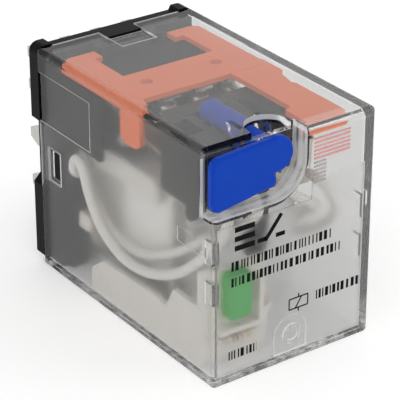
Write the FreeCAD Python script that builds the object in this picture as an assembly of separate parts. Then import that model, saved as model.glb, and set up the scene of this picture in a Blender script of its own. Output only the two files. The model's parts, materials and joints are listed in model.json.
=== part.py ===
import FreeCAD, Part
import math
import os

from FreeCAD import Vector

# Four-pole plug-in relay, millimetres.
# Frame: +X across the poles, +Y from the front of the clear cover towards the blades, +Z up.
# Origin: centre of the rear seating face of the base. The coil axis runs along Y.

# ---- driving dimensions ------------------------------------------------------------------
case_width = 21.5
case_height = 28.0
case_depth = 36.0            # cover front to seating face
flange_depth = 1.8           # black flange behind the cover
wall = 0.95                  # clear cover wall
edge_round = 0.6             # outer edges of the cover

pole_pitch = 4.4
pole_x = [-1.5 * pole_pitch, -0.5 * pole_pitch, 0.5 * pole_pitch, 1.5 * pole_pitch]
nc_row_z = 9.75
no_row_z = 5.65
com_row_z = -0.75
coil_row_z = -7.10
blade_width = 2.6
blade_thick = 0.5
blade_length = 7.0
blade_taper = 1.5
blade_tip_width = 1.2

swing_deg = 2.6              # armature swing from released to pulled in
hinge_y = -25.6              # knife edge at the front of the yoke
hinge_z = -11.0

coil_z = -3.3
core_radius = 2.5
bobbin_bore = 2.55
bobbin_radius = 3.3
winding_half = 6.3           # wound bundle: a rounded square about the coil axis
winding_corner = 3.0
tape_thick = 0.25
flange_half_width = 6.9
flange_half_height = 7.0
coil_front_y = -23.0         # inner faces of the bobbin flanges
coil_rear_y = -8.2
bobbin_flange = 0.9

contact_radius = 1.1
contact_gap = 0.06           # air left between touching contacts
no_contact_top = 7.7
moving_contact_height = 1.4
spring_thick = 0.2
spring_width = 2.4

lever_x = -2.1               # push shaft and lever pivot, along Y
lever_z = 11.6
lever_front_y = -35.6
lever_thick = 0.85
hub_radius = 2.1
shaft_radius = 1.35
shaft_end_y = -23.0
shaft_play = 0.07            # radial running clearance of the push shaft
pin_radius = 0.8
pin_play = 0.05

pocket_depth = 2.4
pocket_right = 1.3
pocket_floor = 6.4
pocket_corner = 4.0
pocket_wall = 0.8

flag_top = 12.65
flag_thick = 0.6

wire_radius = 0.6

# ---- derived sizes -----------------------------------------------------------------------
half_w = case_width / 2
half_h = case_height / 2
front_y = -case_depth
cover_rear_y = -flange_depth
inner_w = half_w - wall
inner_h = half_h - wall
inner_front_y = front_y + wall
pocket_back_y = front_y + pocket_depth
pocket_inner_y = pocket_back_y + pocket_wall
spring_z = no_contact_top + contact_gap + moving_contact_height / 2   # pulled in
armature_gap = 0.08


# ---- small helpers -----------------------------------------------------------------------
def box(x0, x1, y0, y1, z0, z1):
    """Plain block between two corners."""
    return Part.makeBox(x1 - x0, y1 - y0, z1 - z0, Vector(x0, y0, z0))


def rod_y(x, z, radius, y0, y1):
    """Round bar along Y."""
    return Part.makeCylinder(radius, y1 - y0, Vector(x, y0, z), Vector(0, 1, 0))


def rod_z(x, y, radius, z0, z1):
    """Round bar along Z."""
    return Part.makeCylinder(radius, z1 - z0, Vector(x, y, z0), Vector(0, 0, 1))


def plate_xz(outline, y0, y1):
    """Flat plate whose outline is drawn in X and Z, between two depths."""
    points = [Vector(x, y0, z) for x, z in outline]
    face = Part.Face(Part.makePolygon(points + points[:1]))
    return face.extrude(Vector(0, y1 - y0, 0))


def plate_yz(outline, x0, x1):
    """Flat plate whose outline is drawn in Y and Z."""
    points = [Vector(x0, y, z) for y, z in outline]
    face = Part.Face(Part.makePolygon(points + points[:1]))
    return face.extrude(Vector(x1 - x0, 0, 0))


def plate_xy(outline, z0, z1):
    """Flat plate whose outline is drawn in X and Y."""
    points = [Vector(x, y, z0) for x, y in outline]
    face = Part.Face(Part.makePolygon(points + points[:1]))
    return face.extrude(Vector(0, 0, z1 - z0))


def join(shapes):
    """One solid from several that touch or overlap."""
    result = shapes[0]
    if len(shapes) > 1:
        result = result.fuse(shapes[1:])
    return result.removeSplitter()


def mirror_x(shape):
    return shape.mirror(Vector(0, 0, 0), Vector(1, 0, 0))


def mirror_z(shape):
    return shape.mirror(Vector(0, 0, 0), Vector(0, 0, 1))


def round_edges(shape, radius, chosen):
    """Fillet the edges for which chosen(edge) is true."""
    edges = [edge for edge in shape.Edges if chosen(edge)]
    return shape.makeFillet(radius, edges) if edges else shape


def runs_along(edge, axis):
    """True for a straight edge parallel to a unit vector."""
    if len(edge.Vertexes) != 2 or not isinstance(edge.Curve, (Part.Line, Part.LineSegment)):
        return False
    direction = edge.Vertexes[1].Point.sub(edge.Vertexes[0].Point)
    return direction.Length > 0 and abs(direction.normalize().dot(axis)) > 0.999


def released(shape):
    """Swing a piece of the armature from its pulled-in position to its released one."""
    moved = shape.copy()
    moved.rotate(Vector(0, hinge_y, hinge_z), Vector(1, 0, 0), swing_deg)
    return moved


def tube_along(points, radius, name):
    """Round tube along straight runs joined by tangent arcs; prints the arc radii."""
    edges = []
    radii = []
    start = points[0]
    for before, corner, after in zip(points, points[1:], points[2:]):
        run_in = corner.sub(before)
        run_out = after.sub(corner)
        half_turn = run_in.getAngle(run_out) / 2
        cut = 0.45 * min(run_in.Length, run_out.Length)
        bend = cut / math.tan(half_turn)
        arc_in = corner.sub(run_in.normalize() * cut)
        arc_out = corner.add(run_out.normalize() * cut)
        chord_mid = arc_in.add(arc_out) * 0.5
        to_corner = corner.sub(chord_mid).normalize()
        middle = chord_mid.add(to_corner * (bend * (1 - math.cos(half_turn))))
        edges.append(Part.LineSegment(start, arc_in).toShape())
        edges.append(Part.Arc(arc_in, middle, arc_out).toShape())
        radii.append(round(bend, 2))
        start = arc_out
    edges.append(Part.LineSegment(start, points[-1]).toShape())
    path = Part.Wire(edges)
    section = Part.Wire(Part.makeCircle(radius, points[0], points[1].sub(points[0])))
    tube = path.makePipeShell([section], True, False)
    ratio = tube.Volume / (math.pi * radius ** 2 * path.Length)
    print(name, "radii", radii, "length", round(path.Length, 2), "volume ratio", round(ratio, 4))
    return tube


# ---- clear cover -------------------------------------------------------------------------
rib_pitch = 0.46
rib_height = 0.12
rib_width = 0.2
side_recess = 0.15
panel_top = 7.5              # below this level the front wall is thinner and frosted inside
panel_step = 0.1
window_y = (-5.4, -3.9)
window_z = (-1.5, 1.9)
notch_half = 2.4
notch_front_y = -3.6
ledge_front_y = -6.7


def pocket_solid(right, floor, corner, y0, y1, left, top):
    """Block of the lever pocket with its lower right corner rounded."""
    block = box(left, right, y0, y1, floor, top)

    def lower_right(edge):
        point = edge.Vertexes[0].Point
        upright = runs_along(edge, Vector(0, 1, 0))
        return upright and abs(point.x - right) < 0.01 and abs(point.z - floor) < 0.01

    return round_edges(block, corner, lower_right)


def cover_shell():
    """Outer case with rounded edges, hollow and open at the rear."""
    outer = box(-half_w, half_w, front_y, cover_rear_y, -half_h, half_h)

    def outside(edge):
        return min(vertex.Point.y for vertex in edge.Vertexes) < cover_rear_y - 0.01

    outer = round_edges(outer, edge_round, outside)
    hollow = box(-inner_w, inner_w, inner_front_y, 1, -inner_h, inner_h)

    def inside(edge):
        return min(vertex.Point.y for vertex in edge.Vertexes) < cover_rear_y - 0.01

    return outer.cut(round_edges(hollow, 0.3, inside))


def cover_pocket(shell):
    """Step the front back round the test lever and open the top over its shaft."""
    pocket_shell = pocket_solid(pocket_right + pocket_wall, pocket_floor - pocket_wall,
                                pocket_corner + pocket_wall, inner_front_y, pocket_inner_y,
                                -inner_w, inner_h)
    recess = pocket_solid(pocket_right, pocket_floor, pocket_corner, front_y - 1,
                          pocket_back_y, -half_w - 1, half_h + 1)
    shell = shell.fuse(pocket_shell).cut(recess)
    shell = shell.cut(rod_y(lever_x, lever_z, shaft_radius + shaft_play,
                            pocket_back_y - 0.1, pocket_inner_y + 0.1))
    arch_x = -1.6
    arch_half = 2.6
    arch = box(arch_x - arch_half, arch_x + arch_half, pocket_back_y - 0.1,
               pocket_back_y + 0.6, inner_h, half_h + 1)
    arch = arch.fuse(rod_z(arch_x, pocket_back_y + 0.6, arch_half, inner_h, half_h + 1))
    return shell.cut(arch)


def shaft_cheeks():
    """Two clear guides that hang from the top wall either side of the push shaft."""
    gap = shaft_radius + shaft_play
    cheeks = []
    for side in (-1, 1):
        near = lever_x + side * gap
        far = lever_x + side * (gap + 0.7)
        cheeks.append(plate_yz([(-31.5, inner_h + 0.2), (-29.0, inner_h + 0.2),
                                (-30.2, 11.0), (-31.5, 11.0)], min(near, far), max(near, far)))
    return cheeks


def front_ribs():
    """Fine level ribs of the flag window, raised on the front face."""
    ribs = []
    for start_z, count, left, right in ((12.5, 6, 2.3, 7.1), (9.7, 6, 2.3, 3.9)):
        for row in range(count):
            z = start_z - row * rib_pitch
            ribs.append(box(left, right, front_y - rib_height, front_y + 0.1, z - rib_width, z))
    return ribs


def cover():
    """Clear cover: case, lever pocket, ribs, recesses, latch windows and rear notches."""
    body = cover_pocket(cover_shell())
    body = body.fuse(shaft_cheeks())
    hang = 0.3
    for side in (-1, 1):
        edge_x = side * inner_w
        inside_x = side * (inner_w - hang)
        for z0, z1 in ((0.6, 3.4), (-4.2, -1.6)):
            body = body.fuse(box(min(edge_x, inside_x), max(edge_x, inside_x),
                                 inner_front_y, inner_front_y + 1.3, z0, z1))
        face_x = side * half_w
        panel_x = side * (half_w - side_recess)
        body = body.cut(box(min(face_x, panel_x), max(face_x, panel_x),
                            -12.45, cover_rear_y + 1, 5.1, 11.2))
        mark_x = side * (half_w - 0.12)
        body = body.cut(box(min(face_x, mark_x), max(face_x, mark_x), -34.1, -29.4, 1.6, 3.35))
        frame_x = side * (half_w - 0.35)
        body = body.cut(box(min(face_x, frame_x), max(face_x, frame_x),
                            window_y[0] - 0.55, window_y[1] + 0.55,
                            window_z[0] - 0.45, window_z[1] + 0.45))
        through_x = side * (inner_w - 0.5)
        body = body.cut(box(min(face_x, through_x), max(face_x, through_x),
                            window_y[0], window_y[1], window_z[0], window_z[1]))
    notch = box(-notch_half, notch_half, notch_front_y, 0, inner_h - 0.5, half_h + 1)
    ledge = box(-notch_half, notch_half, ledge_front_y, 0, half_h - 0.3, half_h + 1)
    for flip in (lambda shape: shape, mirror_z):
        body = body.cut(flip(notch)).cut(flip(ledge))
    panel = plate_xz([(2.6, panel_top), (inner_w, panel_top), (inner_w, -inner_h),
                      (-inner_w, -inner_h), (-inner_w, 5.0), (2.6, 5.0)],
                     inner_front_y - panel_step, inner_front_y + 0.1)
    body = body.cut(panel)
    gate = box(-2.5, 1.9, front_y - 1, front_y + 0.3, -12.6, -10.3)
    gate = gate.fuse(rod_y(-0.3, -10.3, 2.2, front_y - 1, front_y + 0.3))
    ring = rod_y(-0.1, -10.5, 1.2, front_y, front_y + 0.35)
    ring = ring.cut(rod_y(-0.1, -10.5, 0.8, front_y - 1, front_y + 0.5))
    body = body.cut(gate).fuse(ring)
    return join([body] + front_ribs())


# ---- black base --------------------------------------------------------------------------
flange_top = half_h - 0.35
ear_top = half_h + 0.2
ear_width = 1.9
ear_round = 1.1
plug_front_y = -5.0
tower_front_y = -11.0
tower_low = 3.9
fit_gap = 0.1                # air between the base and the cover round it


def base_flange():
    """Flange with rounded ears at its top corners, bevelled lower corners and waisted sides."""
    low = -half_h + 0.4
    right = [(half_w - 0.9, low), (half_w, low + 0.9), (half_w, -3.4), (half_w - 0.9, -2.5),
             (half_w - 0.9, 4.1), (half_w, 5.0), (half_w, ear_top), (half_w - ear_width, ear_top),
             (half_w - ear_width - 0.3, flange_top)]
    left = [(-x, z) for x, z in reversed(right)]
    plate = plate_xz(right + left, -flange_depth, 0)

    def ear_corner(edge):
        point = edge.Vertexes[0].Point
        upright = runs_along(edge, Vector(0, 1, 0))
        return upright and abs(abs(point.x) - half_w) < 0.01 and abs(point.z - ear_top) < 0.01

    return round_edges(plate, ear_round, ear_corner)


def base_tower():
    """Block behind the contacts with a barrier wall between neighbouring poles."""
    parts = [box(-9.2, 9.2, tower_front_y, plug_front_y, tower_low, 11.6)]
    for barrier_x in (-pole_pitch, 0, pole_pitch):
        parts.append(box(barrier_x - 0.35, barrier_x + 0.35, tower_front_y - 3.0,
                         plug_front_y, 4.4, 11.6))
    for side in (-1, 1):
        parts.append(box(min(side * 8.7, side * 9.3), max(side * 8.7, side * 9.3),
                         tower_front_y - 2.0, plug_front_y, tower_low, 11.6))
    return parts


def base(terminals):
    """Black moulded base, slotted exactly for the terminals that it carries."""
    solid = base_flange()
    plug = box(-inner_w + fit_gap, inner_w - fit_gap, plug_front_y, -flange_depth,
               -inner_h + fit_gap, inner_h - fit_gap)
    lug = box(-notch_half + fit_gap, notch_half - fit_gap, notch_front_y + fit_gap,
              -flange_depth, inner_h - 0.4, half_h - 0.05)
    pieces = [solid, plug, lug, mirror_z(lug)] + base_tower()
    for side in (-1, 1):
        near = side * (inner_w - 0.5)
        far = side * (half_w - 0.45)
        pieces.append(box(min(near, far), max(near, far), window_y[0] + fit_gap,
                          window_y[1] - fit_gap, window_z[0] + fit_gap, window_z[1] - fit_gap))
        pieces.append(box(min(side * 6.8, side * 9.2), max(side * 6.8, side * 9.2),
                          -6.4, plug_front_y, -12.6, -9.4))
    solid = join(pieces)
    for side in (-1, 1):
        solid = solid.cut(box(min(side * 4.3, side * 10), max(side * 4.3, side * 10),
                              plug_front_y - 1, -3.2, 11.9, inner_h + 1))
    for slot_z in (7.7, 2.5, -3.9):
        solid = solid.cut(box(-7.6, 7.6, -0.45, 0.5, slot_z - 0.35, slot_z + 0.35))
    for terminal in terminals:
        solid = solid.cut(terminal)
    return solid


# ---- terminals ---------------------------------------------------------------------------
def blade(x, z, inner_y):
    """Flat blade with tapered tip and elliptic hole, from inside the base to its tip."""
    half = blade_width / 2
    tip = blade_tip_width / 2
    outline = [(inner_y, z - half), (blade_length - blade_taper, z - half),
               (blade_length, z - tip), (blade_length, z + tip),
               (blade_length - blade_taper, z + half), (inner_y, z + half)]
    flat = plate_yz(outline, x - blade_thick / 2, x + blade_thick / 2)
    hole_y = blade_length - 3.1
    hole = box(x - 1, x + 1, hole_y - 0.6, hole_y + 0.6, z - 0.5, z + 0.5)
    for end in (-0.6, 0.6):
        hole = hole.fuse(Part.makeCylinder(0.5, 2, Vector(x - 1, hole_y + end, z),
                                           Vector(1, 0, 0)))
    return flat.cut(hole)


def contact_arm(x, row_z, arm_low, arm_high, contact_y):
    """Level strip that carries a fixed contact, joined to the blade inside the base."""
    arm = box(x - 1.2, x + 1.2, contact_y - 1.5, -5.4, arm_low, arm_high)
    low = min(row_z - blade_width / 2, arm_low)
    high = max(row_z + blade_width / 2, arm_high)
    riser = box(x - blade_thick / 2, x + blade_thick / 2, -6.6, -5.0, low, high)
    return join([blade(x, row_z, -5.2), riser, arm])


def com_terminal(x):
    """Common terminal; the inner two rise over the yoke to reach their wires."""
    outer = abs(x) > pole_pitch
    if outer:
        return blade(x, com_row_z, -7.0)
    riser = box(x - blade_thick / 2, x + blade_thick / 2, -4.9, -3.9, com_row_z, 3.3)
    tag = box(x - blade_thick / 2, x + blade_thick / 2, -6.9, -3.9, 1.5, 3.3)
    return join([blade(x, com_row_z, -4.9), riser, tag])


# ---- contacts ----------------------------------------------------------------------------
def rivet_contact(x, y, z_base, height):
    """Domed contact; its flat back sits at z_base and a negative height points down."""
    step = 1 if height > 0 else -1
    body = abs(height) - 0.15
    up = Vector(0, 0, step)
    disc = Part.makeCylinder(contact_radius, body, Vector(x, y, z_base), up)
    cap = Part.makeCone(contact_radius, contact_radius * 0.55, 0.15,
                        Vector(x, y, z_base + step * body), up)
    return join([disc, cap])


pulled_contact_y = -14.3
released_contact = released(Part.Vertex(0, pulled_contact_y, spring_z)).Point
nc_contact_face = released_contact.z + moving_contact_height / 2 + contact_gap + 0.06
nc_arm_low = nc_contact_face + 0.5
fixed_contact_y = (pulled_contact_y + released_contact.y) / 2


def nc_terminal(x):
    return contact_arm(x, nc_row_z, nc_arm_low, nc_arm_low + 0.4, fixed_contact_y)


def no_terminal(x):
    return contact_arm(x, no_row_z, no_contact_top - 1.1, no_contact_top - 0.7, fixed_contact_y)


def nc_contact(x):
    return rivet_contact(x, fixed_contact_y, nc_arm_low, -0.5)


def no_contact(x):
    return rivet_contact(x, fixed_contact_y, no_contact_top - 0.7, 0.7)


def coil_terminal(x):
    return blade(x, coil_row_z, -7.0)


# ---- magnet ------------------------------------------------------------------------------
yoke_low = -11.6
yoke_high = -10.4
yoke_half = 6.5
yoke_leg_y = (-7.2, -6.0)
lug_front_y = -18.6          # lug that holds the rear end of the return spring
pole_front_y = hinge_y + armature_gap
head_thick = coil_front_y - bobbin_flange - pole_front_y


def coil_core():
    """Iron core with its pole head in front and a riveted tail in the yoke."""
    return join([rod_y(0, coil_z, core_radius, coil_front_y - bobbin_flange, yoke_leg_y[0]),
                 rod_y(0, coil_z, 4.0, pole_front_y, pole_front_y + head_thick),
                 rod_y(0, coil_z, 2.0, yoke_leg_y[0], yoke_leg_y[1])])


def yoke():
    """L-shaped yoke: a long floor plate, a rear leg, two front tabs and a spring lug."""
    floor = box(-yoke_half, yoke_half, hinge_y + 0.1, yoke_leg_y[1], yoke_low, yoke_high)
    leg = box(-5.6, 5.6, yoke_leg_y[0], yoke_leg_y[1], yoke_high, 1.0)
    tabs = [box(-yoke_half, -5.0, hinge_y - 0.9, hinge_y + 0.1, yoke_low, yoke_high),
            box(5.0, yoke_half, hinge_y - 0.9, hinge_y + 0.1, yoke_low, yoke_high)]
    lug = box(-0.8, 0.8, lug_front_y, lug_front_y + 0.4, -12.7, yoke_low)
    solid = join([floor, leg, lug] + tabs)
    return solid.cut(rod_y(0, coil_z, 2.0, yoke_leg_y[0] - 1, yoke_leg_y[1] + 1))


def rounded_bar(half_x, half_z, corner, y0, y1):
    """Bar along the coil axis with a rounded rectangular section."""
    bar = box(-half_x, half_x, y0, y1, coil_z - half_z, coil_z + half_z)
    return round_edges(bar, corner, lambda edge: runs_along(edge, Vector(0, 1, 0)))


def bobbin():
    """White bobbin: tube, two flanges with rounded corners and two lugs for the coil leads."""
    parts = [rod_y(0, coil_z, bobbin_radius, coil_front_y - bobbin_flange,
                   coil_rear_y + bobbin_flange)]
    for y0 in (coil_front_y - bobbin_flange, coil_rear_y):
        parts.append(rounded_bar(flange_half_width, flange_half_height, 1.5,
                                 y0, y0 + bobbin_flange))
    for side in (-1, 1):
        near = side * (flange_half_width - 0.1)
        far = side * 8.6
        parts.append(box(min(near, far), max(near, far), coil_rear_y - 1.4,
                         coil_rear_y + bobbin_flange, -6.8, -4.9))
    return join(parts).cut(rod_y(0, coil_z, bobbin_bore, -40, 0))


def wound_bundle():
    """Outer shape of the winding, without the bobbin's bore."""
    return rounded_bar(winding_half, winding_half + 0.1, winding_corner,
                       coil_front_y, coil_rear_y)


def coil_winding():
    return wound_bundle().cut(rod_y(0, coil_z, bobbin_radius, coil_front_y - 1, coil_rear_y + 1))


def coil_tape():
    """Tape wrapped once round the winding."""
    outer = rounded_bar(winding_half + tape_thick, winding_half + 0.1 + tape_thick,
                        winding_corner + tape_thick, coil_front_y + 0.1, coil_rear_y - 0.1)
    return outer.cut(wound_bundle())


# ---- indicator lamp and bracket ----------------------------------------------------------
bracket_back_y = -32.5
lamp_x = -5.8
lamp_z = -4.7
lamp_half_x = 1.5
lamp_half_z = 2.7
lamp_opening = 0.4           # from the lens to the edge of the bracket's window, all round


def lamp_bracket():
    """White bracket: a tall side plate beside the coil and a face that carries the lamp."""
    back_y = bracket_back_y
    face = box(-9.5, -1.4, back_y, back_y + 0.5, -12.6, -1.4)
    face = face.cut(box(lamp_x - lamp_half_x - lamp_opening, lamp_x + lamp_half_x + lamp_opening,
                        -40, 0, lamp_z - lamp_half_z - 0.25, lamp_z + lamp_half_z + 0.25))
    side = plate_yz([(back_y, -12.9), (back_y, -5.6), (-27.6, -5.6), (-26.2, -8.2),
                     (-25.2, -8.2), (-24.2, -7.9), (-13.5, -8.4), (-11.2, -10.2),
                     (-11.2, -12.9)], -9.6, -8.9)
    tab = box(-9.0, -yoke_half, -13.5, -11.5, yoke_low, yoke_high - 0.2)
    hook = plate_xz([(-3.1, -8.6), (-2.2, -8.6), (-1.4, -7.4), (-1.4, -6.9), (-2.5, -7.3),
                     (-2.5, -3.4), (-3.1, -3.2)], back_y - 1.2, back_y)
    ledge = box(-8.2, -2.2, back_y - 1.2, back_y, -9.2, -8.6)
    return join([face, side, tab, hook, ledge])


def lamp_board():
    """Small circuit board filling the bracket's window."""
    half_x = lamp_half_x + lamp_opening - 0.05
    half_z = lamp_half_z + 0.2
    return box(lamp_x - half_x, lamp_x + half_x, bracket_back_y + 0.05, bracket_back_y + 0.45,
               lamp_z - half_z, lamp_z + half_z)


def lamp():
    """Green lamp: a flat rectangular lens with rounded edges."""
    lens = box(lamp_x - lamp_half_x, lamp_x + lamp_half_x, bracket_back_y - 1.4,
               bracket_back_y + 0.05, lamp_z - lamp_half_z, lamp_z + lamp_half_z)
    return round_edges(lens, 0.5, lambda edge: runs_along(edge, Vector(0, 1, 0)))


def resistor():
    """Small series resistor lying on the bracket's ledge."""
    barrel = Part.makeCylinder(0.55, 3.2, Vector(-7.0, bracket_back_y - 0.65, -10.1),
                               Vector(1, 0, 0))
    legs = Part.makeCylinder(0.2, 5.2, Vector(-8.0, bracket_back_y - 0.65, -10.1),
                             Vector(1, 0, 0))
    return join([barrel, legs])


# ---- flexible wires ----------------------------------------------------------------------
wire_end_z = 4.7
left_end_y = -31.1           # wires end on the solder feet, which stand further back at right
right_end_y = -28.9


def outer_wire_route(end):
    """Outer wire of the left side: from its terminal, beside the coil, to its spring's foot."""
    return [Vector(-7.0, -6.5, -0.4), Vector(-9.1, -6.9, -0.3), Vector(-9.1, -7.2, 2.2),
            Vector(-9.1, -8.9, 2.2), Vector(-9.1, -10.2, -1.6), Vector(-9.1, -12.8, -4.9),
            Vector(-9.1, -17.0, -6.7), Vector(-9.1, -21.8, -6.4), Vector(-9.1, -27.2, -4.2),
            Vector(-9.0, -31.3, -0.9)] + end


def inner_wire_route(end):
    """Inner wire of the left side: over the yoke, beside the coil, to its spring's foot."""
    return [Vector(-2.95, -6.1, 2.5), Vector(-5.8, -6.1, 3.0), Vector(-7.75, -6.7, 2.4),
            Vector(-7.8, -9.0, -2.0), Vector(-7.8, -11.7, -4.9), Vector(-7.8, -16.0, -6.2),
            Vector(-7.8, -21.0, -5.1), Vector(-7.8, -27.6, -1.3), Vector(-7.4, -30.3, 1.1)] + end


outer_ends = {"left": [Vector(-8.7, -32.6, 1.0), Vector(-7.4, -33.0, 3.0),
                       Vector(-6.6, -33.0, wire_end_z), Vector(-6.6, left_end_y, wire_end_z)],
              "right": [Vector(-8.6, -32.0, 1.6), Vector(-7.2, -31.9, 4.0),
                        Vector(-6.6, -30.9, wire_end_z), Vector(-6.6, right_end_y, wire_end_z)]}
inner_ends = {"left": [Vector(-4.4, -32.5, 2.6), Vector(-2.3, -33.0, 4.6),
                       Vector(-2.2, left_end_y, wire_end_z)],
              "right": [Vector(-4.6, -31.6, 2.6), Vector(-2.4, -31.2, 4.5),
                        Vector(-2.2, right_end_y, wire_end_z)]}


def com_wires():
    """Four white-sleeved wires: two on the left and two on the right, drawn left and mirrored."""
    wires = []
    for side in ("left", "right"):
        wires.append(tube_along(outer_wire_route(outer_ends[side]), wire_radius, side + " outer"))
        wires.append(tube_along(inner_wire_route(inner_ends[side]), wire_radius, side + " inner"))
    return [wires[0], wires[1], mirror_x(wires[3]), mirror_x(wires[2])]


# ---- armature group, drawn pulled in -------------------------------------------------------
armature_thick = 1.0
carrier_front_y = -29.8      # left part, round the push shaft
carrier_right_y = -27.6      # right part
carrier_split_x = 1.2
carrier_left_x = -8.8
carrier_right_x = 7.8
carrier_rear_y = -23.5
carrier_low = 5.2
deck_low = 9.7
deck_high = 11.3
peg_y = -26.4
peg_x = 6.2
peg_top = flag_top - 0.25
foot_y = [-30.25, -30.25, -28.05, -28.05]   # solder feet of the springs, by pole
foot_low = 3.2


def armature_plate():
    """Iron armature with a narrow heel between the yoke tabs and a spring hole."""
    back = hinge_y
    front = hinge_y - armature_thick
    half = 6.6
    outline = [(-half, -10.2), (-4.7, -10.2), (-4.7, -11.9), (-1.2, -11.9), (-1.2, -12.75),
               (1.2, -12.75), (1.2, -11.9), (4.7, -11.9), (4.7, -10.2), (half, -10.2),
               (half, 4.6), (half - 0.8, 6.2), (-half + 0.8, 6.2), (-half, 4.6)]
    return plate_xz(outline, front, back).cut(rod_y(0, -12.35, 0.25, -40, 0))


def moving_spring(x, front_y):
    """Thin contact spring with a solder foot bent down at its front end."""
    strip = box(x - spring_width / 2, x + spring_width / 2, front_y,
                pulled_contact_y + 1.6, spring_z - spring_thick / 2, spring_z + spring_thick / 2)
    foot = box(x - 0.8, x + 0.8, front_y, front_y + spring_thick, foot_low, spring_z)
    return join([strip, foot])


def moving_contact(x):
    """Double-headed contact riveted through the end of its spring."""
    half = moving_contact_height / 2
    up = rivet_contact(x, pulled_contact_y, spring_z + spring_thick / 2, half - spring_thick / 2)
    down = rivet_contact(x, pulled_contact_y, spring_z - spring_thick / 2,
                         -(half - spring_thick / 2))
    shank = rod_z(x, pulled_contact_y, 0.5, spring_z - 0.3, spring_z + 0.3)
    return join([up, down, shank])


window_floor_z = 7.2
tongue_outline = [(-2.4, 5.6), (-2.4, -2.0), (-1.7, -3.0), (-0.3, -3.0), (0.4, -2.0), (0.4, 5.6)]


def carrier_windows():
    """Openings in the carrier deck beside and behind the push shaft."""
    channel = box(lever_x - 1.9, lever_x + 1.9, -40, -21.75, deck_low, 20)
    mouth = box(lever_x - 2.4, lever_x + 2.4, -40, -28.4, deck_low, 20)
    left = plate_xy([(-7.4, -25.6), (-5.2, -25.6), (-5.2, -22.2), (-7.0, -22.6)],
                    window_floor_z, 20)
    right = plate_xy([(1.9, -26.2), (3.6, -26.2), (3.0, -21.8), (1.9, -21.8)],
                     window_floor_z, 20)
    return [channel, mouth, left, right]


def contact_carrier(metal):
    """Dark moulded carrier that ties the armature to the four springs."""
    left = carrier_left_x
    right = carrier_right_x
    front = [(left, carrier_front_y), (carrier_split_x, carrier_front_y),
             (carrier_split_x, carrier_right_y), (right, carrier_right_y)]
    block = plate_xy(front + [(right, carrier_rear_y), (left, carrier_rear_y)],
                     carrier_low, deck_low + 0.1)
    deck = plate_xy(front + [(right, -23.2), (5.6, -19.4), (-6.4, -19.4), (left, -22.5)],
                    deck_low, deck_high)
    finger = plate_yz([(carrier_front_y, 5.3), (carrier_front_y, 4.3), (-29.3, 3.7),
                       (-28.7, 3.7), (-28.2, 4.3), (-28.2, 5.3)], left, left + 0.8)
    rails = [box(-6.0, -4.4, carrier_rear_y - 0.1, -19.4, 9.0, deck_high),
             box(0.2, 1.6, carrier_rear_y - 0.1, -19.4, 9.0, deck_high)]
    push_wall = box(-5.0, 0.8, -21.75, -20.2, 9.2, 11.4)
    tongue = plate_xz(tongue_outline, carrier_front_y, carrier_front_y + 0.8)
    peg = box(peg_x - 0.6, peg_x + 0.6, peg_y - 0.6, peg_y + 0.6, deck_high - 0.1, peg_top)
    slots = [box(x + 1.5, x + 2.9, carrier_front_y + 1.7, -20, carrier_low - 1, deck_low - 0.6)
             for x in pole_x[:3]]
    solid = join([block, deck, finger, push_wall, peg, tongue] + rails)
    for opening in carrier_windows() + slots + metal:
        solid = solid.cut(opening)
    return solid


# ---- armature return spring ----------------------------------------------------------------
def armature_spring():
    """Fine tension spring from the armature heel to the yoke lug, under the yoke."""
    front = released(Part.Vertex(0, hinge_y, -12.35)).Point.y + 0.25
    rear = lug_front_y - 0.15
    turns = 16
    coil_radius = 0.42
    wire = 0.11
    helix = Part.makeHelix((rear - front) / turns, rear - front, coil_radius)
    section = Part.Wire(Part.makeCircle(wire, Vector(coil_radius, 0, 0), Vector(0, 1, 0)))
    spring = Part.Wire(helix.Edges).makePipeShell([section], True, True)
    spring.rotate(Vector(0, 0, 0), Vector(1, 0, 0), -90)
    spring.translate(Vector(0, front, -12.35))
    return spring


# ---- orange flag card ----------------------------------------------------------------------
def flag_card():
    """Orange slide under the top wall: cross bar, two rear arms, one front arm, two legs."""
    low = flag_top - flag_thick
    bar = plate_xy([(-9.2, -20.2), (-8.2, -20.2), (-7.6, -18.6), (7.4, -18.6), (9.2, -18.6),
                    (9.2, -12.3), (-9.2, -12.3)], low, flag_top)
    left_arm = plate_xy([(-9.2, -12.4), (-9.2, -5.2), (-8.4, -4.6), (-4.9, -4.6), (-4.9, -6.4),
                         (-6.0, -6.4), (-6.0, -12.4)], low, flag_top)
    right_arm = plate_xy([(9.2, -12.4), (9.2, -5.4), (8.4, -4.8), (5.0, -4.8), (5.0, -6.6),
                          (6.2, -6.6), (6.2, -12.4)], low, flag_top)
    front_arm = plate_xy([(4.2, -18.7), (9.2, -18.7), (8.9, -21.0), (8.2, -24.4), (8.5, -24.8),
                          (8.5, -33.4), (3.2, -33.4), (3.2, -29.8), (4.2, -29.4)], low, flag_top)
    tab = box(3.2, 8.5, -33.4, -32.9, low - 0.5, low + 0.1)
    legs = [box(-9.4, -8.8, -21.2, -17.4, 8.4, flag_top),
            box(8.8, 9.4, -21.2, -17.4, 8.4, flag_top)]
    legs = [round_edges(leg, 1.2, lambda edge: runs_along(edge, Vector(1, 0, 0))
                        and edge.Vertexes[0].Point.z < 9) for leg in legs]
    solid = join([bar, left_arm, right_arm, front_arm, tab] + legs)
    for dimple_x in (-4.7, 4.7):
        dimple = Part.makeCone(0.35, 0.75, 0.35, Vector(dimple_x, -15.0, flag_top - 0.35),
                               Vector(0, 0, 1))
        solid = solid.cut(dimple)
    return solid


def flag_socket():
    """Clearance round the carrier peg, cut up into the front arm from below."""
    peg = released(Part.Vertex(peg_x, peg_y, flag_top - flag_thick)).Point
    play = 0.15
    return box(peg_x - 0.6 - play, peg_x + 0.6 + play, peg.y - 0.65 - play, peg.y + 0.65 + play,
               0, flag_top - 0.15)


# ---- blue push shaft and lever -------------------------------------------------------------
lever_back_y = lever_front_y + lever_thick
lever_round = 0.4


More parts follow.
